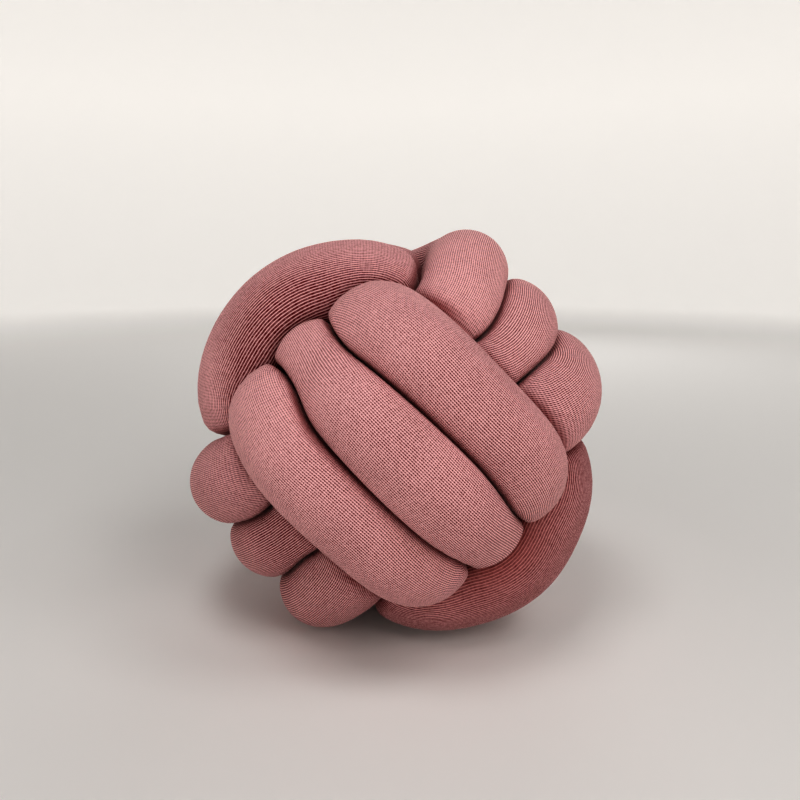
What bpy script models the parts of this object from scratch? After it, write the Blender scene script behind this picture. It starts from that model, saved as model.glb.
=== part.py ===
"""Knot cushion: one long stuffed knitted tube tied into a ball knot of three bands with three turns each.

The tube's path is worked out in the knot's own frame, where one unit is the ball's radius, and then turned
into the resting pose. Each section of the tube reaches out to its full radius, or to the surface where it
presses flat against the next turn, or to the floor.
"""

import math
from typing import NamedTuple

import bmesh
import bpy
import numpy as np
from mathutils import Vector

# The ball
BALL_RADIUS = 0.150  # metres, centre to the outside of a middle turn
NOD = math.radians(9.0)  # how far the front of the ball looks up
ROLL = math.radians(-45.0)  # the front turns run from upper left to lower right
SIT_DEPTH = 0.008  # metres the ball's weight flattens it by, where it rests

# The knot, in ball radii
REACH = 0.835  # centre of an outer pass from the ball's centre
SPAN = 0.45  # centre of an inner pass from the ball's centre
SQUARENESS = 2.7  # exponent of the turns' rounded-rectangle shape
OUTER_PITCH = 0.318  # between neighbouring turns where they show
INNER_PITCH = 0.215  # between neighbouring turns inside the knot
DRAWING_IN = 0.6  # exponent that sets how late a pass draws towards its neighbours as it goes in
SIDE_DROP = 0.07  # how much nearer the centre the two side turns of a band lie
CROSSOVER = 36.0  # degrees either side of the crossover where a turn moves over to the next
LEAD = 35.0  # degrees of a band's first and last turn given up to the crossing between bands
CROSSING_REACH = 1.2  # how far the crossing runs straight on from a band, as a share of its own length
CENTRE_WAY = (0.10, -0.14, -0.04)  # where the crossing from a band to the next passes the centre

# The stuffing, in ball radii
TUBE_RADIUS = 0.205  # of the tube where nothing presses on it
OUTER_FIRMNESS = 0.159  # how strongly a showing pass holds its place against its neighbours
INNER_FIRMNESS = 0.105
OWN_LENGTH = 0.55  # length of tube either side that counts as the same pass
BEND_LIMIT = 0.82  # share of the bend's own radius that the inside of a bend may fill
OUTER_GAP = 0.008  # between two showing surfaces that press on each other
INNER_GAP = 0.028  # the same inside the knot
INSIDE = 0.45  # a pass this near the ball's centre is wholly inside the knot
SHOWING = 0.75  # and one this far from it is wholly outside
LOOSE = 0.40  # a pass this near the centre moves freely when another pushes it
SET = 0.66  # and one this far from it holds its place
FILL = 0.93  # share of the free radius that a showing pass keeps, on the whole, when it is pressed
MOST_GROWTH = 1.35  # how far its free sides may swell for that
EDGE_ROUNDING = 16.0  # exponent that rounds the edges of the flattened contacts
NEAR = 0.7  # a pass further off than this can't press

# The mesh
PATH_STEP = 0.04  # between the points of the centre line, in ball radii
PATH_BLUR = 3.5  # quarter steps that its corners are rounded over
SETTLE_ROUNDS = 120
SETTLE_PUSH = 0.5  # share of an overlap that is undone in a round
CROWDING = 0.7  # exponent that weakens the push of several passes at once
SHOWING_SLACK = 0.03  # how much a showing pass moves, as a share of one inside
SIDES = 13
RINGS = 380
INSIDE_RINGS = 0.55  # how close together the sections lie inside the knot, against where the tube shows
BEND_RINGS = 0.18  # how much closer they lie round a bend, per unit of its curvature
FINER = 3  # presses are felt at this many places per section


class Pass(NamedTuple):
    """How one showing pass of the tube differs from a regular one, in ball radii."""

    band: int  # 0 lies across the front, 1 makes the side arcs, 2 the lobes above and below
    turn: int
    side: int
    shift: float  # across the pass
    slide: float  # along the pass
    reach: float  # away from the ball's centre
    span: float  # longer at both ends
    lean: float  # across the pass as it goes in at one end, and the other way at its other end


PASSES = (
    Pass(band=0, turn=-1, side=1, shift=0.045, slide=0.07, reach=-0.02, span=0.035, lean=0.09),
    Pass(band=0, turn=0, side=1, shift=0.0, slide=0.105, reach=0.0, span=-0.005, lean=0.0),
    Pass(band=0, turn=1, side=1, shift=-0.02, slide=0.045, reach=0.0, span=0.015, lean=0.03),
    Pass(band=1, turn=1, side=-1, shift=0.0, slide=0.0, reach=-0.035, span=0.0, lean=0.0),
    Pass(band=1, turn=0, side=-1, shift=0.0, slide=0.08, reach=-0.12, span=0.0, lean=0.0),
    Pass(band=1, turn=1, side=1, shift=0.0, slide=0.0, reach=0.015, span=-0.03, lean=0.0),
    Pass(band=2, turn=-1, side=1, shift=0.06, slide=-0.05, reach=0.03, span=0.05, lean=0.5),
    Pass(band=2, turn=0, side=1, shift=0.035, slide=0.0, reach=-0.05, span=0.0, lean=0.42),
    Pass(band=2, turn=1, side=1, shift=0.02, slide=0.0, reach=-0.025, span=0.0, lean=0.20),
    Pass(band=2, turn=-1, side=-1, shift=-0.04, slide=0.0, reach=-0.045, span=0.0, lean=0.0),
    Pass(band=2, turn=0, side=-1, shift=-0.045, slide=0.0, reach=-0.05, span=0.0, lean=0.0),
    Pass(band=2, turn=1, side=-1, shift=-0.02, slide=0.0, reach=0.02, span=0.0, lean=0.0),
)

NEXT_BAND = np.array([[0.0, 0.0, 1.0], [1.0, 0.0, 0.0], [0.0, 1.0, 0.0]])


def smooth_step(t):
    """A smooth rise from 0 to 1."""
    t = np.clip(t, 0.0, 1.0)
    return t * t * (3.0 - 2.0 * t)


def unit(vectors):
    """The same directions with length 1."""
    return vectors / np.linalg.norm(vectors, axis=-1, keepdims=True)


def resampled(line, count):
    """The closed line with its points evenly spaced."""
    closed = np.concatenate([line, line[:1]])
    along = np.concatenate([[0.0], np.cumsum(np.linalg.norm(np.diff(closed, axis=0), axis=1))])
    at = np.linspace(0.0, along[-1], count, endpoint=False)
    return np.stack([np.interp(at, along, column) for column in closed.T], axis=1)


def smoothed(values, reach):
    """Values round a closed loop, blurred over the given number of points."""
    half = max(int(3 * reach), 1)
    offsets = np.arange(-half, half + 1)
    weights = np.exp(-0.5 * (offsets / reach) ** 2)
    weights /= weights.sum()
    return sum(weight * np.roll(values, offset, axis=0) for weight, offset in zip(weights, offsets))


def loop_length(points):
    """Length of the closed line."""
    return float(np.linalg.norm(np.roll(points, -1, axis=0) - points, axis=1).sum())


def turn_line(band):
    """The centre line of a band's three turns, with the band's long axis along x and its width along z."""
    degrees = np.linspace(270.0 + LEAD, 1350.0 - LEAD, 1200)
    angle = np.radians(degrees)
    along = np.sign(np.cos(angle)) * np.abs(np.cos(angle)) ** (2.0 / SQUARENESS)
    across = np.sign(np.sin(angle)) * np.abs(np.sin(angle)) ** (2.0 / SQUARENESS)
    turn = -1.0
    for crossover in (630.0, 990.0):
        turn = turn + smooth_step((degrees - crossover + CROSSOVER) / (2.0 * CROSSOVER))
    showing = smooth_step(np.abs(np.cos(angle)) ** DRAWING_IN)
    reach = REACH * (1.0 - SIDE_DROP * np.abs(turn) * showing)
    span = np.full_like(angle, SPAN)
    slide = np.zeros_like(angle)
    side_place = turn * (INNER_PITCH + (OUTER_PITCH - INNER_PITCH) * showing)
    for row in PASSES:
        if row.band != band:
            continue
        near = np.clip(1.0 - np.abs(turn - row.turn), 0.0, 1.0)
        here = near * np.clip(row.side * np.cos(angle), 0.0, 1.0) ** 0.5
        reach = reach + row.reach * here
        span = span + row.span * here
        slide = slide + row.slide * here
        side_place = side_place + row.shift * here
        inward = np.clip(1.0 - row.side * along, 0.0, 1.0) * np.sign(np.sin(angle))
        side_place = side_place + row.lean * inward * near * smooth_step(3.0 * row.side * np.cos(angle))
    return np.stack([reach * along, span * across + slide, side_place], axis=1)


def bridge(start, start_way, end, end_way, count=60):
    """A smooth curve from one point to another that leaves and arrives the given ways."""
    length = CROSSING_REACH * np.linalg.norm(end - start)
    u = np.linspace(0.0, 1.0, count + 1)[1:-1, None]
    return (
        (2 * u**3 - 3 * u**2 + 1) * start
        + (u**3 - 2 * u**2 + u) * start_way * length
        + (3 * u**2 - 2 * u**3) * end
        + (u**3 - u**2) * end_way * length
    )


def knot_line():
    """The closed centre line of the whole knot."""
    bands = []
    middles = []
    place = np.eye(3)
    for band in range(3):
        bands.append(turn_line(band) @ place.T)
        middles.append(place @ np.array(CENTRE_WAY))
        place = place @ NEXT_BAND
    parts = []
    for band, middle in enumerate(middles):
        here, after = bands[band], bands[(band + 1) % 3]
        first, last = here[-1], after[0]
        leaving, arriving = unit(first - here[-6]), unit(after[5] - last)
        passing = unit(last - first)
        way_in = bridge(first, leaving, middle, passing)
        way_out = bridge(middle, passing, last, arriving)
        parts += [here, way_in, middle[None], way_out]
    line = np.concatenate(parts)
    count = int(round(loop_length(line) / PATH_STEP))
    return resampled(smoothed(resampled(line, 4 * count), PATH_BLUR), count)


def apart_along(count, length):
    """Length of tube between each two points of the closed line."""
    index = np.arange(count)
    steps = np.abs(index[:, None] - index[None])
    return np.minimum(steps, count - steps) * (length / count)


def by_depth(points, inner, outer, inside=INSIDE, showing=SHOWING):
    """A size at each point of the line that goes from its value inside the knot to the one outside."""
    depth = np.linalg.norm(points, axis=1)
    return inner + (outer - inner) * smooth_step((depth - inside) / (showing - inside))


def settled(points):
    """The line once the passes inside the knot have pushed each other apart."""
    far = apart_along(len(points), loop_length(points)) > OWN_LENGTH
    loose = by_depth(points, 1.0, SHOWING_SLACK, LOOSE, SET)[:, None]
    hold = by_depth(points, INNER_FIRMNESS, OUTER_FIRMNESS)
    wanted = hold[:, None] + hold[None]
    for _ in range(SETTLE_ROUNDS):
        between = points[:, None] - points[None]
        distance = np.linalg.norm(between, axis=2) + 1e-9
        lack = np.where(far, np.clip(wanted - distance, 0.0, None), 0.0)
        touching = np.maximum((lack > 0.0).sum(axis=1), 1)[:, None]
        push = (between * (lack / distance)[..., None]).sum(axis=1) / touching**CROWDING * SETTLE_PUSH
        points = points + smoothed(push, 1.2) * loose
        points = points + (smoothed(points, 2.0) - points) * 0.5 * loose
    return smoothed(points, 1.5)


def frames(points):
    """Two directions across the tube at each point that don't spin as it runs along."""
    way = unit(np.roll(points, -1, axis=0) - np.roll(points, 1, axis=0))
    across = np.empty_like(way)
    across[0] = unit(np.cross(way[0], [0.0, 0.0, 1.0]))
    for i in range(1, len(way)):
        across[i] = unit(across[i - 1] - way[i] * np.dot(across[i - 1], way[i]))
    last = unit(across[-1] - way[0] * np.dot(across[-1], way[0]))
    twist = math.atan2(np.dot(np.cross(last, across[0]), way[0]), np.dot(last, across[0]))
    angle = (twist * np.arange(len(way)) / len(way))[:, None]
    other = np.cross(way, across)
    return across * np.cos(angle) + other * np.sin(angle), other * np.cos(angle) - across * np.sin(angle)


def at_places(values, places):
    """Values of a closed loop at fractional places along it."""
    low = np.floor(places).astype(int)
    share = (places - low).reshape((-1,) + (1,) * (values.ndim - 1))
    return values[low % len(values)] * (1.0 - share) + values[(low + 1) % len(values)] * share


def ring_places(points, count):
    """Where along the line the sections lie: closer together round the bends and where the tube shows."""
    way = unit(np.roll(points, -1, axis=0) - np.roll(points, 1, axis=0))
    bend = np.linalg.norm(np.roll(way, -1, axis=0) - np.roll(way, 1, axis=0), axis=1) / (2.0 * PATH_STEP)
    density = smoothed(by_depth(points, INSIDE_RINGS, 1.0) * (1.0 + BEND_RINGS * bend), 3.0)
    along = np.concatenate([[0.0], np.cumsum(density)])
    return np.interp(np.arange(count) * along[-1] / count, along, np.arange(len(points) + 1))


def sections(points, rings, sides):
    """(centres, directions, radii) of the tube's sections, each radius cut back where something presses."""
    places = ring_places(points, rings * FINER)
    across, other = frames(points)
    fine_centres = at_places(points, places)
    across, other = unit(at_places(across, places)), unit(at_places(other, places))
    angle = 2.0 * np.pi * np.arange(sides) / sides
    fine_out = across[:, None] * np.cos(angle)[:, None] + other[:, None] * np.sin(angle)[:, None]
    hold = by_depth(points, INNER_FIRMNESS, OUTER_FIRMNESS)
    own_hold = at_places(hold, places)
    half_gap = 0.5 * at_places(by_depth(points, INNER_GAP, OUTER_GAP), places)
    step = loop_length(points) / len(points)
    pressed = np.empty((rings * FINER, sides))
    for ring, place in enumerate(places):
        apart = np.abs(np.arange(len(points)) - place)
        apart = np.minimum(apart, len(points) - apart) * step
        to_others = points - fine_centres[ring]
        distance = np.linalg.norm(to_others, axis=1)
        near = (apart > 1.5 * step) & (distance < NEAR)
        to_others, distance, apart = to_others[near], distance[near], apart[near]
        another = smooth_step((apart - 0.8 * OWN_LENGTH) / (0.2 * OWN_LENGTH))
        share = own_hold[ring] / (own_hold[ring] + hold[near])
        share = 0.5 * BEND_LIMIT * (1.0 - another) + share * another
        reach = share * distance**2 - half_gap[ring] * another * distance
        towards = fine_out[ring] @ to_others.T
        limit = np.where(towards > 0.02 * distance, reach / np.maximum(towards, 1e-9), 9.0)
        pressed[ring] = limit.min(axis=1)
    pressed = np.minimum(pressed, np.minimum(np.roll(pressed, 1, axis=0), np.roll(pressed, -1, axis=0)))
    centres, out, pressed, places = (field[::FINER] for field in (fine_centres, fine_out, pressed, places))
    showing = at_places(by_depth(points, 0.0, 1.0), places)[:, None]
    grown = TUBE_RADIUS
    for _ in range(4):
        radii = (pressed**-EDGE_ROUNDING + grown**-EDGE_ROUNDING) ** (-1.0 / EDGE_ROUNDING)
        filled = (radii**2).mean(axis=1, keepdims=True)
        change = np.clip(TUBE_RADIUS * FILL / np.sqrt(filled), 1.0, MOST_GROWTH)
        grown = TUBE_RADIUS * (1.0 + (smoothed(change, 2.0) - 1.0) * showing)
    return centres, out, radii


def resting_turn():
    """Where the knot's own axes point in the resting pose, a row for each."""
    right = np.array([1.0, 0.0, 0.0])
    up = np.array([0.0, math.sin(NOD), math.cos(NOD)])
    front = np.array([0.0, -math.cos(NOD), math.sin(NOD)])
    along = right * math.cos(ROLL) + up * math.sin(ROLL)
    over = up * math.cos(ROLL) - right * math.sin(ROLL)
    return np.stack([front, along, over])


def tube_surface(rings, sides):
    """The tube's surface points in the resting pose, a row per section, resting on the floor."""
    line = knot_line()
    line = resampled(settled(line), len(line))
    centres, out, radii = sections(line, rings, sides)
    surface = (centres[:, None] + out * radii[..., None]) * BALL_RADIUS @ resting_turn()
    surface[..., 2] -= surface[..., 2].min() + SIT_DEPTH
    surface[..., 2] = np.maximum(surface[..., 2], 0.0)
    low, high = surface.reshape(-1, 3).min(axis=0), surface.reshape(-1, 3).max(axis=0)
    surface[..., :2] -= 0.5 * (low + high)[:2]
    return surface


def knit_material():
    """Dusty pink cotton knit."""
    material = bpy.data.materials.new("dusty_pink_knit")
    material.use_nodes = True
    shader = material.node_tree.nodes["Principled BSDF"]
    shader.inputs["Base Color"].default_value = (0.50, 0.19, 0.19, 1.0)
    shader.inputs["Roughness"].default_value = 0.92
    shader.inputs["Metallic"].default_value = 0.0
    return material


def knotted_tube():
    """The stuffed tube: a sheet rolled up along its length and closed end to end."""
    surface = tube_surface(RINGS, SIDES)
    sheet = bmesh.new()
    bmesh.ops.create_grid(sheet, x_segments=RINGS, y_segments=SIDES, size=0.5)
    for vert in sheet.verts:
        ring = round((vert.co.x + 0.5) * RINGS) % RINGS
        side = round((vert.co.y + 0.5) * SIDES) % SIDES
        vert.co = Vector(surface[ring, side])
    bmesh.ops.remove_doubles(sheet, verts=sheet.verts, dist=1e-7)
    bmesh.ops.recalc_face_normals(sheet, faces=sheet.faces)
    for face in sheet.faces:
        face.smooth = True
    mesh = bpy.data.meshes.new("knotted_tube")
    sheet.to_mesh(mesh)
    sheet.free()
    tube = bpy.data.objects.new("knotted_tube", mesh)
    tube.data.materials.append(knit_material())
    bpy.context.collection.objects.link(tube)
    return tube


def main():
    """Clears the scene and makes the cushion."""
    for old in list(bpy.data.objects):
        bpy.data.objects.remove(old, do_unlink=True)
    knotted_tube()


if __name__ == "__main__":
    main()
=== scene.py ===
"""Knot cushion: one long stuffed knitted tube tied into a ball knot of three bands with three turns each.

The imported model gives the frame. The tube is made here on the centre line and sizes of its solid, with a
finer surface, its passes drawn together to creases, lumps of stuffing, and a jersey knit that follows the
tube.
"""

import logging
import math
from collections.abc import Mapping
from dataclasses import dataclass, field
from enum import Enum

import bmesh
import bpy
import numpy as np
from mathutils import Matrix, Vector


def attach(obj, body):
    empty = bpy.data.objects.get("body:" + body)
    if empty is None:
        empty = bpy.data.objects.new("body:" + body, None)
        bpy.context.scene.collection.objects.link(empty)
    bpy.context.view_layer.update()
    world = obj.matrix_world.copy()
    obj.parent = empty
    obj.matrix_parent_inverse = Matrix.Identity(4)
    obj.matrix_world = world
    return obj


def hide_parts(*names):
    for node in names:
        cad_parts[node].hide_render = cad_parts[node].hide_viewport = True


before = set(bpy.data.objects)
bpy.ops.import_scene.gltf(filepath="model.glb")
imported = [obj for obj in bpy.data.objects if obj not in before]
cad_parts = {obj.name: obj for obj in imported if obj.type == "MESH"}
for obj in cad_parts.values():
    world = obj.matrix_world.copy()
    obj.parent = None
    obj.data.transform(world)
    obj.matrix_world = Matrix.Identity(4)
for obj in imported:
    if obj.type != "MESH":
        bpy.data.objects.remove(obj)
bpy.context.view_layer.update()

LOG = logging.getLogger("knot_cushion")
NEXT_BAND = np.array([[0.0, 0.0, 1.0], [1.0, 0.0, 0.0], [0.0, 1.0, 0.0]])
WIDEST = 3.0  # the mark of knit that is drawn as far open as it goes, where its painted shade is full


class Band(Enum):
    """The three bands of the knot, in the order the tube makes them."""

    FRONT = 0
    ARCS = 1
    LOBES = 2


def smooth_step(t: np.ndarray) -> np.ndarray:
    """A smooth rise from 0 to 1."""
    t = np.clip(t, 0.0, 1.0)
    return t * t * (3.0 - 2.0 * t)


def unit(vectors: np.ndarray) -> np.ndarray:
    """The same directions with length 1."""
    return vectors / np.linalg.norm(vectors, axis=-1, keepdims=True)


def loop_length(points: np.ndarray) -> float:
    """Length of a closed line."""
    return float(np.linalg.norm(np.roll(points, -1, axis=0) - points, axis=1).sum())


def resampled(line: np.ndarray, count: int) -> np.ndarray:
    """Spaces the points of a closed line evenly.

    Args:
        line: Its points, one per row.
        count: How many points it gets.

    Returns:
        The new points, one per row.
    """
    closed = np.concatenate([line, line[:1]])
    along = np.concatenate([[0.0], np.cumsum(np.linalg.norm(np.diff(closed, axis=0), axis=1))])
    at = np.linspace(0.0, along[-1], count, endpoint=False)
    return np.stack([np.interp(at, along, column) for column in closed.T], axis=1)


def smoothed(values: np.ndarray, reach: float) -> np.ndarray:
    """Blurs values round a closed loop.

    Args:
        values: One row per place round the loop.
        reach: Width of the blur, in rows.

    Returns:
        The blurred values.
    """
    half = max(int(3 * reach), 1)
    offsets = np.arange(-half, half + 1)
    weights = np.exp(-0.5 * (offsets / reach) ** 2)
    weights /= weights.sum()
    return sum(weight * np.roll(values, offset, axis=0) for weight, offset in zip(weights, offsets))


def at_places(values: np.ndarray, places: np.ndarray) -> np.ndarray:
    """Reads a closed loop's values between its rows.

    Args:
        values: One row per point of the loop.
        places: Fractional row numbers.

    Returns:
        The values there.
    """
    low = np.floor(places).astype(int)
    share = (places - low).reshape((-1,) + (1,) * (values.ndim - 1))
    return values[low % len(values)] * (1.0 - share) + values[(low + 1) % len(values)] * share


@dataclass(frozen=True)
class PassFit:
    """How one showing pass of the tube differs from a regular one, in ball radii."""

    band: Band
    turn: int
    side: int
    shift: float = 0.0
    slide: float = 0.0
    reach: float = 0.0
    span: float = 0.0
    lean: float = 0.0


PASS_FITS = (
    PassFit(Band.FRONT, turn=-1, side=1, shift=0.045, slide=0.07, reach=-0.02, span=0.035, lean=0.09),
    PassFit(Band.FRONT, turn=0, side=1, slide=0.105, span=-0.005),
    PassFit(Band.FRONT, turn=1, side=1, shift=-0.02, slide=0.045, span=0.015, lean=0.03),
    PassFit(Band.ARCS, turn=1, side=-1, reach=-0.035),
    PassFit(Band.ARCS, turn=0, side=-1, slide=0.08, reach=-0.12),
    PassFit(Band.ARCS, turn=1, side=1, reach=0.015, span=-0.03),
    PassFit(Band.LOBES, turn=-1, side=1, shift=0.06, slide=-0.05, reach=0.03, span=0.05, lean=0.5),
    PassFit(Band.LOBES, turn=0, side=1, shift=0.035, reach=-0.05, lean=0.42),
    PassFit(Band.LOBES, turn=1, side=1, shift=0.02, reach=-0.025, lean=0.20),
    PassFit(Band.LOBES, turn=-1, side=-1, shift=-0.04, reach=-0.045),
    PassFit(Band.LOBES, turn=0, side=-1, shift=-0.045, reach=-0.05),
    PassFit(Band.LOBES, turn=1, side=-1, shift=-0.02, reach=0.02),
)


@dataclass(frozen=True)
class StretchAndShade:
    """How much further than elsewhere the knit is drawn open over one side of a band; past the mark where
    grooves gape, it also lays painted shade there.
    """

    band: Band
    side: int
    drawn: float


# Past the mark where grooves gape, these also lay painted shade, most on the arcs' side drawn furthest.
STRETCHES_AND_SHADE = (
    StretchAndShade(Band.ARCS, side=-1, drawn=0.8),
    StretchAndShade(Band.ARCS, side=1, drawn=2.25),
    StretchAndShade(Band.LOBES, side=-1, drawn=0.9),
)


@dataclass(frozen=True)
class Stuffing:
    """How much more firmly than elsewhere the tube is stuffed round one spot, in ball radii."""

    spot: tuple[float, float, float]
    reach: float
    more: float


STUFFINGS = (
    Stuffing(spot=(0.50, -0.42, -0.24), reach=0.10, more=0.12),
    Stuffing(spot=(0.66, -0.25, -0.30), reach=0.17, more=-0.34),
    Stuffing(spot=(0.52, -0.38, 0.01), reach=0.12, more=0.08),
)


@dataclass(frozen=True)
class KnotPath:
    """The closed centre line of the knot, in the knot's own frame and in ball radii."""

    reach: float = 0.835
    span: float = 0.45
    squareness: float = 2.7
    outer_pitch: float = 0.318
    inner_pitch: float = 0.215
    drawing_in: float = 0.6
    side_drop: float = 0.07
    begins: float = 270.0  # degrees round the first turn, inside the knot
    lead: float = 35.0  # degrees left off a band's first and last turn, where it is bridged
    crossovers: tuple[float, float] = (630.0, 990.0)  # degrees, where one turn goes over into the next
    crossover: float = 36.0  # degrees to either side, over which it does
    samples: int = 1200  # points of a band, before it is resampled
    taper: float = 0.5  # how softly a pass's own fit fades towards its ends
    outside_rise: float = 3.0  # how soon a lean starts outside the knot
    centre_way: tuple[float, float, float] = (0.10, -0.14, -0.04)
    bridge_pull: float = 1.2
    bridge_steps: int = 60
    bridge_sight: int = 6  # points from a band's end, over which its direction is taken
    step: float = 0.04
    spare: int = 4  # how many times as many points the line has while it is blurred
    blur: float = 3.5
    settle_rounds: int = 120
    push: float = 0.5
    push_blur: float = 1.2
    crowding: float = 0.7  # how far a push is shared out where many passes touch
    ease: float = 0.5
    ease_blur: float = 2.0
    last_blur: float = 1.5
    own_length: float = 0.55
    outer_firmness: float = 0.159
    inner_firmness: float = 0.105
    showing_from: tuple[float, float] = (0.45, 0.75)
    set_from: tuple[float, float] = (0.40, 0.66)
    slack: float = 0.03
    stretch_rise: float = 0.5  # how far beyond the middle a side's stretch is full
    stretch_blur: float = 2.0

    @staticmethod
    def by_depth(points: np.ndarray, inner: float, outer: float, depths: tuple[float, float]) -> np.ndarray:
        """A size at each point that goes from its value inside the knot to the one outside.

        Args:
            points: Points of the centre line.
            inner: The size inside.
            outer: The size outside.
            depths: The distances from the knot's centre between which it changes.

        Returns:
            One size for each point.
        """
        depth = np.linalg.norm(points, axis=1)
        return inner + (outer - inner) * smooth_step((depth - depths[0]) / (depths[1] - depths[0]))

    def turns(self, band: Band) -> np.ndarray:
        """A band's three turns, with the band's long axis along x and its width along z."""
        ends = self.begins + self.lead, self.begins + 3 * 360.0 - self.lead
        degrees = np.linspace(*ends, self.samples)
        angle = np.radians(degrees)
        power = 2.0 / self.squareness
        along = np.sign(np.cos(angle)) * np.abs(np.cos(angle)) ** power
        across = np.sign(np.sin(angle)) * np.abs(np.sin(angle)) ** power
        turn = -1.0
        for crossover in self.crossovers:
            turn = turn + smooth_step((degrees - crossover + self.crossover) / (2.0 * self.crossover))
        showing = smooth_step(np.abs(np.cos(angle)) ** self.drawing_in)
        reach = self.reach * (1.0 - self.side_drop * np.abs(turn) * showing)
        span = np.full_like(angle, self.span)
        slide = np.zeros_like(angle)
        side_place = turn * (self.inner_pitch + (self.outer_pitch - self.inner_pitch) * showing)
        for fit in PASS_FITS:
            if fit.band is not band:
                continue
            near = np.clip(1.0 - np.abs(turn - fit.turn), 0.0, 1.0)
            here = near * np.clip(fit.side * np.cos(angle), 0.0, 1.0) ** self.taper
            reach = reach + fit.reach * here
            span = span + fit.span * here
            slide = slide + fit.slide * here
            inward = np.clip(1.0 - fit.side * along, 0.0, 1.0) * np.sign(np.sin(angle))
            outside = near * smooth_step(self.outside_rise * fit.side * np.cos(angle))
            side_place = side_place + fit.shift * here + fit.lean * inward * outside
        return np.stack([reach * along, span * across + slide, side_place], axis=1)

    def bridge(
        self, start: np.ndarray, start_way: np.ndarray, end: np.ndarray, end_way: np.ndarray
    ) -> np.ndarray:
        """A smooth curve between two points that leaves and arrives the given ways.

        Args:
            start: Where it starts.
            start_way: The direction it leaves in.
            end: Where it ends.
            end_way: The direction it arrives in.

        Returns:
            The points between its ends.
        """
        length = self.bridge_pull * np.linalg.norm(end - start)
        u = np.linspace(0.0, 1.0, self.bridge_steps + 1)[1:-1, None]
        return (
            (2 * u**3 - 3 * u**2 + 1) * start
            + (u**3 - 2 * u**2 + u) * start_way * length
            + (3 * u**2 - 2 * u**3) * end
            + (u**3 - u**2) * end_way * length
        )

    def tied(self) -> np.ndarray:
        """The three bands joined into one closed line, before they settle."""
        bands = []
        middles = []
        place = np.eye(3)
        for band in Band:
            bands.append(self.turns(band) @ place.T)
            middles.append(place @ np.array(self.centre_way))
            place = place @ NEXT_BAND
        parts = []
        for band, middle in enumerate(middles):
            here, after = bands[band], bands[(band + 1) % 3]
            first, last = here[-1], after[0]
            leaving = unit(first - here[-self.bridge_sight])
            arriving = unit(after[self.bridge_sight - 1] - last)
            passing = unit(last - first)
            way_in = self.bridge(first, leaving, middle, passing)
            way_out = self.bridge(middle, passing, last, arriving)
            parts += [here, way_in, middle[None], way_out]
        line = np.concatenate(parts)
        count = int(round(loop_length(line) / self.step))
        return resampled(smoothed(resampled(line, self.spare * count), self.blur), count)

    def settled(self) -> np.ndarray:
        """The line once the passes inside the knot have pushed each other apart."""
        points = self.tied()
        index = np.arange(len(points))
        steps = np.abs(index[:, None] - index[None])
        apart = np.minimum(steps, len(points) - steps) * (loop_length(points) / len(points))
        far = apart > self.own_length
        loose = self.by_depth(points, 1.0, self.slack, self.set_from)[:, None]
        hold = self.evenly_firm(points)
        wanted = hold[:, None] + hold[None]
        for _ in range(self.settle_rounds):
            between = points[:, None] - points[None]
            distance = np.linalg.norm(between, axis=2) + 1e-9
            lack = np.where(far, np.clip(wanted - distance, 0.0, None), 0.0)
            touching = np.maximum((lack > 0.0).sum(axis=1), 1)[:, None]
            push = (between * (lack / distance)[..., None]).sum(axis=1) / touching**self.crowding * self.push
            points = points + smoothed(push, self.push_blur) * loose
            points = points + (smoothed(points, self.ease_blur) - points) * self.ease * loose
        return resampled(smoothed(points, self.last_blur), len(points))

    def evenly_firm(self, points: np.ndarray) -> np.ndarray:
        """How firmly each point of the centre line would hold its room in an evenly stuffed tube."""
        return self.by_depth(points, self.inner_firmness, self.outer_firmness, self.showing_from)

    def firmness(self, points: np.ndarray) -> np.ndarray:
        """How firmly each point of the centre line holds its room against its neighbours."""
        hold = self.evenly_firm(points)
        for stuffing in STUFFINGS:
            off = np.linalg.norm(points - np.array(stuffing.spot), axis=1) / stuffing.reach
            hold = hold * (1.0 + stuffing.more * np.exp(-0.5 * off**2))
        return hold

    def drawn_open_and_shade(self, points: np.ndarray) -> np.ndarray:
        """How much further than elsewhere the knit is drawn open at each point of the centre line, with
        painted shade past the mark where grooves gape.
        """
        band_of = np.arange(len(points)) * 3 // len(points)
        way = np.eye(3)
        drawn = np.zeros(len(points))
        for band in Band:
            beyond = points @ way[:, 0]
            for stretch_and_shade in STRETCHES_AND_SHADE:
                if stretch_and_shade.band is band:
                    here = smooth_step(stretch_and_shade.side * beyond / self.stretch_rise) * (band_of == band.value)
                    drawn = drawn + stretch_and_shade.drawn * here
            way = way @ NEXT_BAND
        return smoothed(drawn, self.stretch_blur)

    @staticmethod
    def frames(points: np.ndarray) -> tuple[np.ndarray, np.ndarray]:
        """Two directions across the tube that don't spin as it runs along.

        Args:
            points: The closed centre line.

        Returns:
            The first direction and the one square to it, at each point.
        """
        way = unit(np.roll(points, -1, axis=0) - np.roll(points, 1, axis=0))
        across = np.empty_like(way)
        across[0] = unit(np.cross(way[0], [0.0, 0.0, 1.0]))
        for i in range(1, len(way)):
            across[i] = unit(across[i - 1] - way[i] * np.dot(across[i - 1], way[i]))
        last = unit(across[-1] - way[0] * np.dot(across[-1], way[0]))
        twist = math.atan2(np.dot(np.cross(last, across[0]), way[0]), np.dot(last, across[0]))
        angle = (twist * np.arange(len(way)) / len(way))[:, None]
        other = np.cross(way, across)
        return across * np.cos(angle) + other * np.sin(angle), other * np.cos(angle) - across * np.sin(angle)


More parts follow.
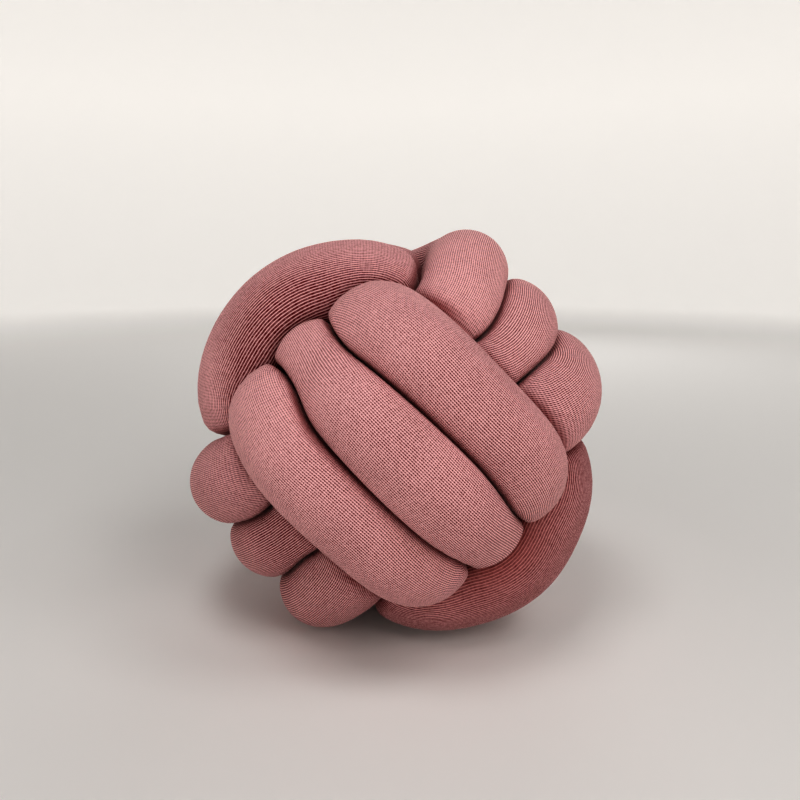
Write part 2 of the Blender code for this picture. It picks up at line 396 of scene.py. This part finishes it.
class Signal:
    """One value that varies over a surface, ready for plain sums."""

    def __init__(self, bench: "NodeBench", socket: bpy.types.NodeSocket) -> None:
        """Wraps a socket of the bench's material."""
        self.bench = bench
        self.socket = socket

    def worked(self, operation: str, *others: "Signal | float", clamp: bool = False) -> "Signal":
        """Puts this value through a Math node.

        Args:
            operation: What the node does.
            others: The node's further values.
            clamp: Whether the result is kept between 0 and 1.

        Returns:
            The result.
        """
        return self.bench.math(operation, self, *others, clamp=clamp)

    def __add__(self, other: "Signal | float") -> "Signal":
        """self + other."""
        return self.bench.math("ADD", self, other)

    def __radd__(self, other: float) -> "Signal":
        """other + self."""
        return self.bench.math("ADD", other, self)

    def __sub__(self, other: "Signal | float") -> "Signal":
        """self - other."""
        return self.bench.math("SUBTRACT", self, other)

    def __rsub__(self, other: float) -> "Signal":
        """other - self."""
        return self.bench.math("SUBTRACT", other, self)

    def __mul__(self, other: "Signal | float") -> "Signal":
        """self * other."""
        return self.bench.math("MULTIPLY", self, other)

    def __rmul__(self, other: float) -> "Signal":
        """other * self."""
        return self.bench.math("MULTIPLY", other, self)

    def clamped(self) -> "Signal":
        """This value kept between 0 and 1."""
        return self.worked("MULTIPLY", 1.0, clamp=True)


class NodeBench:
    """Where a material's nodes are put together."""

    def __init__(self, name: str) -> None:
        """Starts a material with its Principled shader."""
        self.material = bpy.data.materials.new(name)
        self.material.use_nodes = True
        self.tree = self.material.node_tree
        self.shader = self.tree.nodes["Principled BSDF"]

    def fill(self, node: bpy.types.Node, sockets: Mapping[str | int, object]) -> None:
        """Sets or links a node's sockets.

        Args:
            node: The node.
            sockets: For each socket's name or number, a value, a Signal or a socket to link.
        """
        for name, value in sockets.items():
            target = node.inputs[name]
            if isinstance(value, Signal):
                value = value.socket
            if isinstance(value, bpy.types.NodeSocket):
                self.tree.links.new(value, target)
            else:
                target.default_value = value

    def node(
        self, kind: str, settings: Mapping[str, object], sockets: Mapping[str | int, object]
    ) -> bpy.types.Node:
        """Adds a node.

        Args:
            kind: The node's type.
            settings: Its settings, which are set first.
            sockets: The values or links of its sockets.

        Returns:
            The node.
        """
        made = self.tree.nodes.new(kind)
        for name, value in settings.items():
            setattr(made, name, value)
        self.fill(made, sockets)
        return made

    def signal(
        self, kind: str, settings: Mapping[str, object], sockets: Mapping[str | int, object], out: str | int
    ) -> Signal:
        """Adds a node and gives one of its outputs as a Signal.

        Args:
            kind: The node's type.
            settings: Its settings, which are set first.
            sockets: The values or links of its sockets.
            out: The output's name or number.

        Returns:
            The output.
        """
        return Signal(self, self.node(kind, settings, sockets).outputs[out])

    def math(self, operation: str, *values: Signal | float, clamp: bool = False) -> Signal:
        """Adds a Math node.

        Args:
            operation: What it does.
            values: Its values in order.
            clamp: Whether the result is kept between 0 and 1.

        Returns:
            The result.
        """
        settings = {"operation": operation, "use_clamp": clamp}
        return self.signal("ShaderNodeMath", settings, dict(enumerate(values)), 0)

    def noise(
        self, place: bpy.types.NodeSocket, scale: float, detail: float = 2.0, roughness: float = 0.55
    ) -> Signal:
        """Adds a noise around a half.

        Args:
            place: The coordinates it reads.
            scale: Its waves per unit of them.
            detail: How many finer layers it has.
            roughness: How strong those are.

        Returns:
            The noise, from 0 to 1.
        """
        sockets = {"Vector": place, "Scale": scale, "Detail": detail, "Roughness": roughness}
        return self.signal("ShaderNodeTexNoise", {}, sockets, 0)

    def mixed(self, share: Signal | float, first: object, second: object, blend: str = "MIX") -> Signal:
        """Mixes two colours.

        Args:
            share: How much of the second colour shows.
            first: A colour or a Signal.
            second: A colour or a Signal.
            blend: How they go together.

        Returns:
            The colour.
        """
        settings = {"data_type": "RGBA", "blend_type": blend}
        return self.signal("ShaderNodeMix", settings, {0: share, 6: first, 7: second}, 2)


@dataclass(frozen=True)
class JerseyKnit:
    """A fine cotton jersey: wales along the tube, courses across it, fuzz over both."""

    name: str = "dusty_pink_jersey"
    face: tuple[float, float, float, float] = (0.98, 0.535, 0.54, 1.0)
    hollow: tuple[float, float, float, float] = (0.12, 0.004, 0.006, 1.0)
    depth: tuple[float, float, float, float] = (0.50, 0.28, 0.28, 1.0)  # painted shade, multiplied into the colour where the tube is pressed into a crease
    gaping_and_shade_from: float = 1.7  # the mark from which a groove opens so far that its bottom shows, and painted shade begins
    gaping_shade_tone: tuple[float, float, float, float] = (0.58, 0.355, 0.33, 1.0)  # painted shade, with the deeper knit showing, where the knit is drawn furthest open
    gaping_loss: float = 0.35  # how much less a groove stands out there
    wander: float = 0.5  # wales that a rib strays to either side
    wander_scale: float = 55.0  # waves per metre, as for the other scales
    lean: float = 0.5  # courses that a stitch's legs rise from its middle to its edge
    closed: float = 0.52  # how dark a groove is between its holes where the knit lies closed
    opened: float = 0.95  # and where it is drawn open
    width: float = 0.12  # how much wider than the ribs the grooves are
    spread: float = 0.16  # and how much wider still where the knit is drawn open
    edge_gain: float = 3.0  # how sharply a rib falls into its grooves
    legs_gain: float = 2.0  # how sharply a stitch's legs rise from its hole
    fuzz_scale: float = 560.0
    fuzz_shade: float = 0.80
    patch_scale: float = 22.0
    patch_shade: float = 0.12
    patch_tone: float = 0.16
    cover: float = 0.28  # how much of the grooves the fuzz hides at most
    cover_lost: float = 0.8  # share of that which is lost where the knit is drawn open
    raised_scale: float = 14.0
    raised_spots: float = 1.6  # how far the fuzz is raised in spots
    raised_rise: float = 8.0  # and how much more it is for each metre up and to the side
    raised_middle: float = 0.18  # metres up and to the side, where that is nothing
    raised_least: float = 0.3  # what is still too low to cover anything
    stitch_height: float = 0.0006  # metres
    stitch_bump: float = 0.8
    fuzz_height: float = 0.00018  # metres
    fuzz_bump: float = 0.5
    roughness: float = 0.92
    fuzz_roughness: float = 0.12
    gloss: float = 0.12
    sheen: float = 0.40
    sheen_roughness: float = 0.28
    sheen_tint: tuple[float, float, float, float] = (1.0, 0.66, 0.63, 1.0)

    @staticmethod
    def hardened(wave: Signal, gain: float) -> Signal:
        """Makes a wave between 0 and 1 rise and fall faster, with flatter tops and bottoms."""
        return ((wave - 0.5) * gain).worked("ADD", 0.5, clamp=True)

    def material(self, knit_map: str, open_and_shade_mark: str, crease_mark: str) -> bpy.types.Material:
        """Makes the material.

        Args:
            knit_map: Name of the UV map that counts wales one way and courses the other.
            open_and_shade_mark: Name of the attribute that is 0 where the knit lies closed, 1 where it is
                open and 3 where it is drawn widest; past the mark where grooves gape it lays painted shade on
                the colour.
            crease_mark: Name of the attribute that is 1 where the tube is pressed into a crease and painted
                shade is laid on.

        Returns:
            The material.
        """
        bench = NodeBench(self.name)
        place = bench.node("ShaderNodeTexCoord", {}, {}).outputs["Object"]
        laid = bench.node("ShaderNodeUVMap", {"uv_map": knit_map}, {}).outputs[0]
        counts = bench.node("ShaderNodeSeparateXYZ", {}, {0: laid})
        stretch_and_shade = bench.signal("ShaderNodeAttribute", {"attribute_name": open_and_shade_mark}, {}, "Fac")
        drawn = stretch_and_shade.worked("MINIMUM", 1.0)
        # painted shade share: none below the mark where grooves gape, full where the knit is drawn furthest
        # open
        gaping_and_shade = (stretch_and_shade - self.gaping_and_shade_from).worked("DIVIDE", WIDEST - self.gaping_and_shade_from, clamp=True)
        crease = bench.signal("ShaderNodeAttribute", {"attribute_name": crease_mark}, {}, "Fac")
        wale, course = Signal(bench, counts.outputs[0]), Signal(bench, counts.outputs[1])
        wale = wale + (bench.noise(place, self.wander_scale) - 0.5) * self.wander
        edge = (wale.worked("FRACT") - 0.5).worked("ABSOLUTE") * 2.0
        rib = (edge * math.pi).worked("COSINE") * -0.5 + 0.5
        groove = self.hardened(rib + drawn * self.spread + self.width, self.edge_gain)
        leg = ((course + edge * self.lean) * math.tau).worked("COSINE") * 0.5 + 0.5
        legs = self.hardened(leg, self.legs_gain)
        between = drawn * (self.opened - self.closed) + self.closed
        hole = groove * (legs * (1.0 - between) + between) * (1.0 - gaping_and_shade * self.gaping_loss)
        fuzz = bench.noise(place, self.fuzz_scale, detail=3.0)
        patch = bench.noise(place, self.patch_scale)
        spot = bench.node("ShaderNodeSeparateXYZ", {}, {0: place})
        aside = Signal(bench, spot.outputs[2]) - Signal(bench, spot.outputs[0]) - self.raised_middle
        raised = bench.noise(place, self.raised_scale, detail=3.0) * self.raised_spots
        raised = raised + aside * self.raised_rise
        covered = raised.worked("SUBTRACT", self.raised_least, clamp=True) * self.cover
        covered = covered * (1.0 - drawn * self.cover_lost)
        shade = hole * (1.0 - covered) + (0.5 - fuzz) * self.fuzz_shade + (0.5 - patch) * self.patch_shade
        yarn = bench.mixed(shade.clamped(), self.face, self.hollow)
        # painted shade: darkens the colour where the knit is drawn past the mark where grooves gape
        gaping_shaded = bench.mixed(gaping_and_shade, yarn, self.gaping_shade_tone, "MULTIPLY")
        # painted shade: the colour is darkened where the tube is pressed into a crease
        sunk = bench.mixed(crease, gaping_shaded, self.depth, "MULTIPLY")
        tone = (patch - 0.5) * self.patch_tone + 1.0
        scaled = bench.node("ShaderNodeVectorMath", {"operation": "SCALE"}, {0: sunk, "Scale": tone})
        stitches = {"Strength": self.stitch_bump, "Distance": self.stitch_height, "Height": 1.0 - hole}
        low = bench.node("ShaderNodeBump", {}, stitches)
        hairs = {"Strength": self.fuzz_bump, "Distance": self.fuzz_height, "Height": fuzz}
        fine = bench.node("ShaderNodeBump", {}, {**hairs, "Normal": low.outputs[0]})
        bench.fill(
            bench.shader,
            {
                "Base Color": scaled.outputs[0],
                "Roughness": (fuzz - 0.5) * self.fuzz_roughness + self.roughness,
                "Normal": fine.outputs[0],
                "Specular IOR Level": self.gloss,
                "Sheen Weight": self.sheen,
                "Sheen Roughness": self.sheen_roughness,
                "Sheen Tint": self.sheen_tint,
            },
        )
        return bench.material


@dataclass
class Skin:
    """The tube's surface, with a row for each section."""

    points: np.ndarray  # in metres, in the resting pose
    along: np.ndarray  # each section's place along the tube, in metres
    bends: np.ndarray  # how strongly and to which side the tube bends, in radii
    drawn: np.ndarray  # how much further than elsewhere the knit is drawn open at each section, with painted shade past the mark where grooves gape
    crease: np.ndarray  # how far each point is pressed into a crease, from 0 to 1


@dataclass
class StuffedTube:
    """The cushion itself: the stuffed tube on the knot's centre line, in ball radii where not said."""

    path: KnotPath = field(default_factory=KnotPath)
    finish: JerseyKnit = field(default_factory=JerseyKnit)
    name: str = "stuffed_tube"
    ball_radius: float = 0.150  # metres
    nod: float = math.radians(9.0)
    roll: float = math.radians(-45.0)
    sit_depth: float = 0.008  # metres
    snug: float = 0.85  # how tightly it is filled, as the frame counts it
    radius: float = 0.205
    bend_limit: float = 0.82
    outer_gap: float = 0.004
    inner_gap: float = 0.022
    neighbours_within: float = 0.62
    least_facing: float = 0.02  # what faces a neighbour less than this isn't held back by it
    unpressed: float = 9.0
    own_from: float = 1.5  # steps along the line, from where on the tube's own bend counts
    own_share: float = 0.8  # share of own_length up to where it counts as the tube's own bend
    fill: float = 0.93
    fill_rounds: int = 4
    fill_blur: float = 9.0
    most_growth: float = 1.35
    edge_rounding: float = 14.0
    crease_from: float = 0.10  # share of its radius that a point is pressed in by, deep in a crease
    lump: float = 0.018
    lump_spots: tuple[int, int] = (240, 8)  # along the tube and round it
    lump_blurs: tuple[float, float] = (0.8, 0.6)
    lump_seed: int = 11
    inner_density: float = 0.55  # how close sections lie inside the knot, for those outside
    bend_density: float = 0.18  # how much closer they lie round a bend
    density_blur: float = 3.0
    rings: int = 1880
    sides: int = 52
    finer: int = 3
    wales: int = 98
    course: float = 0.00118  # metres of centre line
    gathering: float = 0.7  # how much closer wales lie outside a bend, for the tube's stretch there
    bend_reach: int = 3  # points of the line to either side, over which a bend is taken
    bend_blur: float = 3.0
    straight_mark: float = 0.5  # how far the knit is drawn open where the tube is straight
    bend_mark: float = 2.0  # and how much less for each radius outside a bend
    mark_range: tuple[float, float] = (-0.5, 1.0)
    knit_map: str = "Knit"
    bake_map: str = "OFBake"
    open_and_shade_mark: str = "Drawn_open_and_shade"
    crease_mark: str = "Crease"
    bake_strips: int = 6
    bake_sides: float = 0.02  # share of a strip's width that is left free at either side
    bake_ends: float = 0.005  # and of the map's width at either end

    def ring_places(self, points: np.ndarray, count: int) -> np.ndarray:
        """Where along the line the sections lie: closer together round the bends and where the tube shows."""
        way = unit(np.roll(points, -1, axis=0) - np.roll(points, 1, axis=0))
        turned = np.linalg.norm(np.roll(way, -1, axis=0) - np.roll(way, 1, axis=0), axis=1)
        density = self.path.by_depth(points, self.inner_density, 1.0, self.path.showing_from)
        density = density * (1.0 + self.bend_density * turned / (2.0 * self.path.step))
        along = np.concatenate([[0.0], np.cumsum(smoothed(density, self.density_blur))])
        return np.interp(np.arange(count) * along[-1] / count, along, np.arange(len(points) + 1))

    def pressed(
        self, points: np.ndarray, places: np.ndarray, centres: np.ndarray, out: np.ndarray
    ) -> np.ndarray:
        """How far each section may reach before it presses on another pass, or on its own bend.

        Args:
            points: The centre line.
            places: The sections' places along it.
            centres: The sections' centres.
            out: Directions out of each section.

        Returns:
            The reach in each direction of each section.
        """
        path = self.path
        hold = path.firmness(points)
        own_hold = at_places(hold, places)
        gap = path.by_depth(points, self.inner_gap, self.outer_gap, path.showing_from)
        half_gap = 0.5 * at_places(gap, places)
        step = loop_length(points) / len(points)
        limits = np.empty(out.shape[:2])
        for ring, place in enumerate(places):
            apart = np.abs(np.arange(len(points)) - place)
            apart = np.minimum(apart, len(points) - apart) * step
            to_others = points - centres[ring]
            distance = np.linalg.norm(to_others, axis=1)
            near = (apart > self.own_from * step) & (distance < self.neighbours_within)
            to_others, distance, apart = to_others[near], distance[near], apart[near]
            beyond = apart - self.own_share * path.own_length
            another = smooth_step(beyond / ((1.0 - self.own_share) * path.own_length))
            share = own_hold[ring] / (own_hold[ring] + hold[near])
            share = 0.5 * self.bend_limit * (1.0 - another) + share * another
            reach = share * distance**2 - half_gap[ring] * another * distance
            towards = out[ring] @ to_others.T
            facing = towards > self.least_facing * distance
            limit = np.where(facing, reach / np.maximum(towards, 1e-9), self.unpressed)
            limits[ring] = limit.min(axis=1)
        return np.minimum(limits, np.minimum(np.roll(limits, 1, axis=0), np.roll(limits, -1, axis=0)))

    def lumps(self, places: np.ndarray, sides: int) -> np.ndarray:
        """Soft uneven lumps of stuffing, as a share of the radius, for each section and direction."""
        rng = np.random.default_rng(self.lump_seed)
        spots = rng.normal(size=self.lump_spots)
        rows = np.linspace(0.0, self.lump_spots[0], len(places), endpoint=False)
        around = np.arange(sides) * self.lump_spots[1] / sides
        along = at_places(smoothed(spots, self.lump_blurs[0]), rows)
        return at_places(smoothed(along.T, self.lump_blurs[1]), around).T

    def skin(self) -> Skin:
        """Works out the tube's surface in the resting pose."""
        points = self.path.settled()
        places = self.ring_places(points, self.rings * self.finer)
        across, other = self.path.frames(points)
        centres = at_places(points, places)
        across, other = unit(at_places(across, places)), unit(at_places(other, places))
        angle = math.tau * np.arange(self.sides) / self.sides
        out = across[:, None] * np.cos(angle)[:, None] + other[:, None] * np.sin(angle)[:, None]
        pressed = self.pressed(points, places, centres, out)
        sight = self.bend_reach * loop_length(points) / len(points)
        before, after = np.roll(points, self.bend_reach, axis=0), np.roll(points, -self.bend_reach, axis=0)
        bend = smoothed((2.0 * points - before - after) / sight**2, self.bend_blur) * self.radius
        coarse = slice(None, None, self.finer)
        centres, out, pressed, places = centres[coarse], out[coarse], pressed[coarse], places[coarse]
        across, other = across[coarse], other[coarse]
        bend_here = at_places(bend, places)
        bends = np.stack([(bend_here * across).sum(axis=1), (bend_here * other).sum(axis=1)], axis=1)
        showing = self.path.by_depth(points, 0.0, 1.0, self.path.showing_from)
        showing = at_places(showing, places)[:, None]
        uneven = 1.0 + self.lump * self.lumps(places, self.sides) * showing
        grown = self.radius
        for _ in range(self.fill_rounds):
            radii = pressed**-self.edge_rounding + (grown * uneven) ** -self.edge_rounding
            radii = radii ** (-1.0 / self.edge_rounding)
            filled = (radii**2).mean(axis=1, keepdims=True)
            change = np.clip(self.radius * self.fill / np.sqrt(filled), 1.0, self.most_growth)
            grown = self.radius * (1.0 + (smoothed(change, self.fill_blur) - 1.0) * showing)
        surface = (centres[:, None] + out * radii[..., None]) * self.ball_radius @ self.resting_turn()
        surface[..., 2] -= surface[..., 2].min() + self.sit_depth
        surface[..., 2] = np.maximum(surface[..., 2], 0.0)
        low, high = surface.reshape(-1, 3).min(axis=0), surface.reshape(-1, 3).max(axis=0)
        surface[..., :2] -= 0.5 * (low + high)[:2]
        length = loop_length(points) * self.ball_radius
        crease = smooth_step((grown * uneven / radii - 1.0) / self.crease_from)
        drawn = at_places(self.path.drawn_open_and_shade(points), places)
        return Skin(surface, places * length / len(points), bends, drawn, crease)

    def resting_turn(self) -> np.ndarray:
        """Where the knot's own axes point in the resting pose, a row for each."""
        right = np.array([1.0, 0.0, 0.0])
        up = np.array([0.0, math.sin(self.nod), math.cos(self.nod)])
        front = np.array([0.0, -math.cos(self.nod), math.sin(self.nod)])
        along = right * math.cos(self.roll) + up * math.sin(self.roll)
        over = up * math.cos(self.roll) - right * math.sin(self.roll)
        return np.stack([front, along, over])

    def wale_counts(self, skin: Skin) -> tuple[np.ndarray, np.ndarray]:
        """Counts the wales round each section: even along its girth, closer together outside a bend.

        Args:
            skin: The tube's surface.

        Returns:
            The count at each surface point, and how far the knit is drawn open there, from 0 to 3, with
            painted shade past the mark where grooves gape. Both have one more column, that closes the
            section.
        """
        steps = np.linalg.norm(np.roll(skin.points, -1, axis=1) - skin.points, axis=2)
        girth = np.cumsum(np.concatenate([np.zeros((len(steps), 1)), steps], axis=1), axis=1)
        share = girth / girth[:, -1:]
        even = np.arange(self.sides + 1) / self.sides
        share = share - (share - even)[:, :-1].mean(axis=1, keepdims=True)
        around = math.tau * share
        one, other = skin.bends[:, :1], skin.bends[:, 1:]
        gathered = (one * np.sin(around) - other * np.cos(around)) * self.gathering / math.tau
        outward = one * np.cos(around) + other * np.sin(around)
        drawn = np.clip(self.straight_mark - self.bend_mark * outward, *self.mark_range)
        return (share + gathered) * self.wales, np.clip(drawn + skin.drawn[:, None], 0.0, WIDEST)

    def build(self) -> bpy.types.Object:
        """Rolls a sheet up into the tube, closed end to end, with its knit and bake maps.

        Returns:
            The tube, on its body and in place of its solid.
        """
        skin = self.skin()
        wales, drawn = self.wale_counts(skin)
        length = 2.0 * skin.along[-1] - skin.along[-2]
        courses = np.append(skin.along, length) / length * round(length / self.course)
        sheet = bmesh.new()
        bmesh.ops.create_grid(sheet, x_segments=self.rings, y_segments=self.sides, size=0.5)
        knit = sheet.loops.layers.uv.new(self.knit_map)
        bake = sheet.loops.layers.uv.new(self.bake_map)
        open_and_shade_mark = sheet.verts.layers.float.new(self.open_and_shade_mark)
        crease_mark = sheet.verts.layers.float.new(self.crease_mark)
        per_strip = self.rings / self.bake_strips
        for face in sheet.faces:
            middle = face.calc_center_median()
            strip = math.floor((middle.x + 0.5) * self.rings / per_strip)
            face.smooth = True
            for loop in face.loops:
                ring = round((loop.vert.co.x + 0.5) * self.rings)
                side = round((loop.vert.co.y + 0.5) * self.sides)
                loop[knit].uv = (wales[ring % self.rings, side], courses[ring])
                within = self.bake_sides + (1.0 - 2.0 * self.bake_sides) * side / self.sides
                loop[bake].uv = (
                    self.bake_ends + (1.0 - 2.0 * self.bake_ends) * (ring / per_strip - strip),
                    (strip + within) / self.bake_strips,
                )
        for vert in sheet.verts:
            ring = round((vert.co.x + 0.5) * self.rings) % self.rings
            side = round((vert.co.y + 0.5) * self.sides) % self.sides
            vert[open_and_shade_mark] = drawn[ring, side]
            vert[crease_mark] = skin.crease[ring, side]
            vert.co = Vector(skin.points[ring, side])
        bmesh.ops.remove_doubles(sheet, verts=sheet.verts, dist=1e-7)
        bmesh.ops.recalc_face_normals(sheet, faces=sheet.faces)
        mesh = bpy.data.meshes.new(self.name)
        sheet.to_mesh(mesh)
        sheet.free()
        tube = bpy.data.objects.new(self.name, mesh)
        bpy.context.scene.collection.objects.link(tube)
        mesh.materials.append(self.finish.material(self.knit_map, self.open_and_shade_mark, self.crease_mark))
        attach(tube, "root")
        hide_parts("knotted_tube")
        return tube


@dataclass(frozen=True)
class Lamp:
    """A soft square light that looks at the cushion, in metres and watts."""

    name: str
    place: tuple[float, float, float]
    size: float
    power: float
    warmth: float = 0.0


LAMPS = (
    Lamp("overhead_left", place=(-0.20, -0.45, 1.40), size=0.5, power=3.9),
    Lamp("overhead_right", place=(0.80, -0.45, 1.40), size=0.5, power=2.8),
    Lamp("front", place=(0.80, -1.40, 1.40), size=0.7, power=6.0, warmth=0.1),
    Lamp("low_left", place=(-0.90, -0.45, 0.40), size=0.5, power=0.4),
    Lamp("low_front", place=(0.20, -1.00, 0.30), size=0.5, power=0.4),
    Lamp("behind", place=(0.30, 1.40, 0.80), size=0.8, power=2.5),
)


@dataclass
class Studio:
    """A pale floor that curves up to a wall all round and glows further out as painted light, soft light and
    the camera.
    """

    floor_radius: float = 2.6  # metres, to where it starts to curve up
    sweep_radius: float = 0.9
    sweep_steps: int = 16
    wall_top: float = 2.0
    round_steps: int = 96
    glow_from: float = 0.35  # metres from the middle, where the floor and wall start to glow, painted light that brightens the backdrop
    glow: float = 0.40
    floor_colour: tuple[float, float, float, float] = (0.80, 0.78, 0.755, 1.0)
    floor_roughness: float = 0.9
    floor_gloss: float = 0.2
    dark: tuple[float, float, float, float] = (0.0, 0.0, 0.0, 1.0)
    warm_green: float = 0.08  # what the warmest light lacks of green
    warm_blue: float = 0.18  # and of blue
    air_colour: tuple[float, float, float, float] = (0.95, 0.96, 1.0, 1.0)
    air_strength: float = 0.05
    centre: tuple[float, float, float] = (0.0, 0.0, 0.1359)  # the ball's middle
    aside: float = 0.001  # how far the camera's path lies to the right of it
    camera_pitch: float = math.radians(12.0)
    camera_distance: float = 0.585
    focal_length: float = 35.3  # millimetres, as the next
    sensor_width: float = 36.0
    nearest: float = 0.01
    sunk: float = math.radians(2.0428)  # how far below the view's middle the ball lies
    turned: float = math.radians(0.4379)  # and how far the camera is turned to its right

    def floor(self) -> bpy.types.Object:
        """Spins the floor and its wall from one line."""
        sheet = bmesh.new()
        line = [sheet.verts.new((0.0, 0.0, 0.0)), sheet.verts.new((self.floor_radius, 0.0, 0.0))]
        for angle in np.linspace(0.0, 0.5 * math.pi, self.sweep_steps + 1)[1:]:
            out = self.floor_radius + self.sweep_radius * math.sin(angle)
            line.append(sheet.verts.new((out, 0.0, self.sweep_radius * (1.0 - math.cos(angle)))))
        line.append(sheet.verts.new((self.floor_radius + self.sweep_radius, 0.0, self.wall_top)))
        edges = [sheet.edges.new(pair) for pair in zip(line, line[1:])]
        bmesh.ops.spin(
            sheet,
            geom=line + edges,
            cent=(0.0, 0.0, 0.0),
            axis=(0.0, 0.0, 1.0),
            angle=math.tau,
            steps=self.round_steps,
            use_merge=True,
        )
        bmesh.ops.remove_doubles(sheet, verts=sheet.verts, dist=1e-5)
        bmesh.ops.recalc_face_normals(sheet, faces=sheet.faces)
        for face in sheet.faces:
            face.smooth = True
        mesh = bpy.data.meshes.new("floor")
        sheet.to_mesh(mesh)
        sheet.free()
        floor = bpy.data.objects.new("floor", mesh)
        bpy.context.scene.collection.objects.link(floor)
        bench = NodeBench("pale_floor")
        place = bench.node("ShaderNodeTexCoord", {}, {}).outputs["Object"]
        away = bench.signal("ShaderNodeVectorMath", {"operation": "LENGTH"}, {0: place}, "Value")
        far = (away - self.glow_from).worked("DIVIDE", self.floor_radius - self.glow_from, clamp=True)
        bench.fill(
            bench.shader,
            {
                "Base Color": self.floor_colour,
                "Roughness": self.floor_roughness,
                "Specular IOR Level": self.floor_gloss,
                # painted light: the floor and wall glow, more the further they lie from the middle
                "Emission Color": bench.mixed(far, self.dark, self.floor_colour),
                "Emission Strength": self.glow,
            },
        )
        mesh.materials.append(bench.material)
        return floor

    def light(self, lamp: Lamp) -> bpy.types.Object:
        """Hangs a lamp.

        Args:
            lamp: Its name, place, size, power and warmth.

        Returns:
            The light.
        """
        square = bpy.data.lights.new(lamp.name, "AREA")
        square.size = lamp.size
        square.energy = lamp.power
        square.color = (1.0, 1.0 - self.warm_green * lamp.warmth, 1.0 - self.warm_blue * lamp.warmth)
        light = bpy.data.objects.new(lamp.name, square)
        bpy.context.scene.collection.objects.link(light)
        light.location = lamp.place
        light.visible_camera = False
        towards = Vector(self.centre) - light.location
        light.rotation_euler = towards.to_track_quat("-Z", "Y").to_euler()
        return light

    def air(self) -> None:
        """Lights the whole room evenly."""
        world = bpy.data.worlds.new("soft_room")
        world.use_nodes = True
        background = world.node_tree.nodes["Background"]
        background.inputs["Color"].default_value = self.air_colour
        background.inputs["Strength"].default_value = self.air_strength
        bpy.context.scene.world = world

    def camera(self) -> bpy.types.Object:
        """Stands the camera in front of the cushion, looking a little down."""
        lens = bpy.data.cameras.new("camera")
        lens.lens = self.focal_length
        lens.sensor_width = self.sensor_width
        lens.clip_start = self.nearest
        camera = bpy.data.objects.new("camera", lens)
        bpy.context.scene.collection.objects.link(camera)
        height = self.camera_pitch + self.sunk
        back = Vector((0.0, -math.cos(height), math.sin(height))) * self.camera_distance
        camera.location = Vector(self.centre) + Vector((self.aside, 0.0, 0.0)) + back
        camera.rotation_euler = (0.5 * math.pi - self.camera_pitch, 0.0, -self.turned)
        bpy.context.scene.camera = camera
        return camera

    def build(self) -> None:
        """Sets the whole studio up."""
        self.floor()
        self.air()
        for lamp in LAMPS:
            self.light(lamp)
        self.camera()
        bpy.context.scene.view_settings.view_transform = "Standard"
        bpy.context.scene.view_settings.look = "High Contrast"


def report(piece: bpy.types.Object) -> None:
    """Logs a piece's name and how many faces it has."""
    LOG.info("%s: %d faces", piece.name, len(piece.data.polygons))


def main() -> None:
    """Builds the cushion and the studio in order."""
    logging.basicConfig(level=logging.INFO, format="%(name)s %(message)s")
    tube = StuffedTube()
    report(tube.build())
    Studio().build()


if __name__ == "__main__":
    main()
